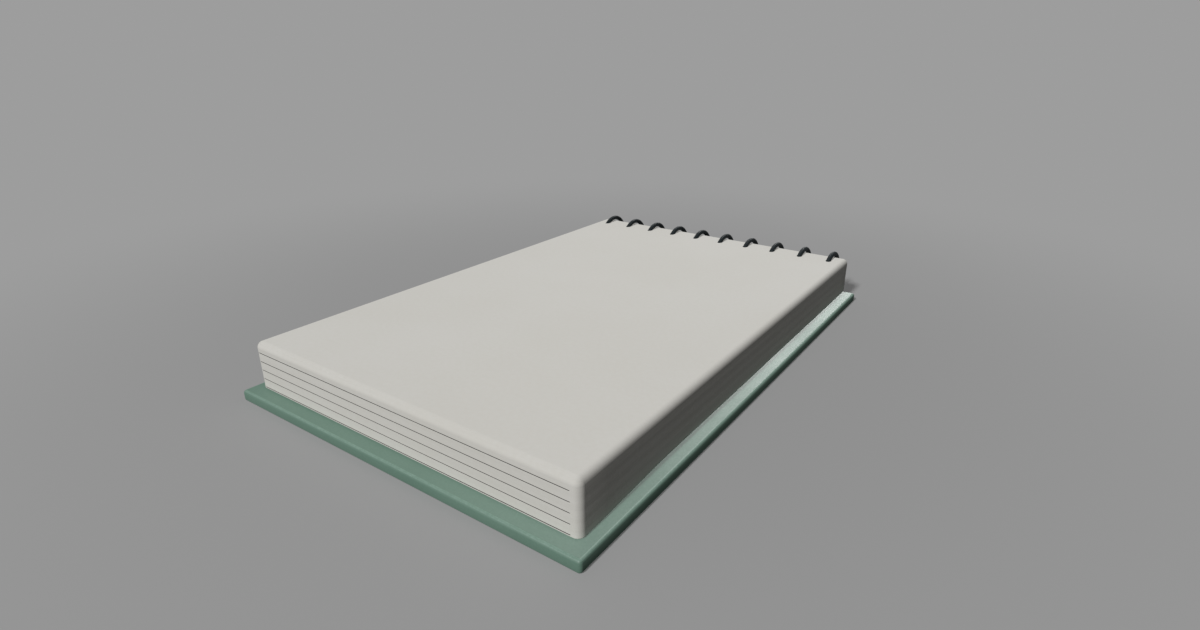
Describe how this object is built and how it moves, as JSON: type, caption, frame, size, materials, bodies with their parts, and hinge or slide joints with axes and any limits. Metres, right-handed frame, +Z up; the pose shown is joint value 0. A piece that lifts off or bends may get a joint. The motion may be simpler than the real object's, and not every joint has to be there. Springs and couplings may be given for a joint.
{
  "type": "spiral notebook",
  "caption": "Thick block of blank pages on a slightly larger back board, bound along one short edge by a single spiral wire, with no front cover.",
  "frame": {"origin": "on the underside of the back board, at the middle of the overall outline of board and wire", "axes": "+Z up through the pages, +Y towards the bound edge with the wire, +X to the right when the free edge is nearest"},
  "size_m": [0.1344, 0.2078, 0.0225],
  "materials": {
    "board": "matt green coated board with a fine grain",
    "pages": "uncoated off-white paper",
    "wire": "satin blue-black coated steel wire"
  },
  "bodies": {
    "bound_board": {"back_board": "board", "spiral_wire": "wire"},
    "pages": {"page_block": "pages"}
  },
  "joints": [
    {"name": "pages_turn", "type": "hinge", "parent": "bound_board", "child": "pages", "pos_m": [0, 0.0934, 0.01205], "axis": [-1, 0, 0], "range_deg": [0, 180]}
  ]
}
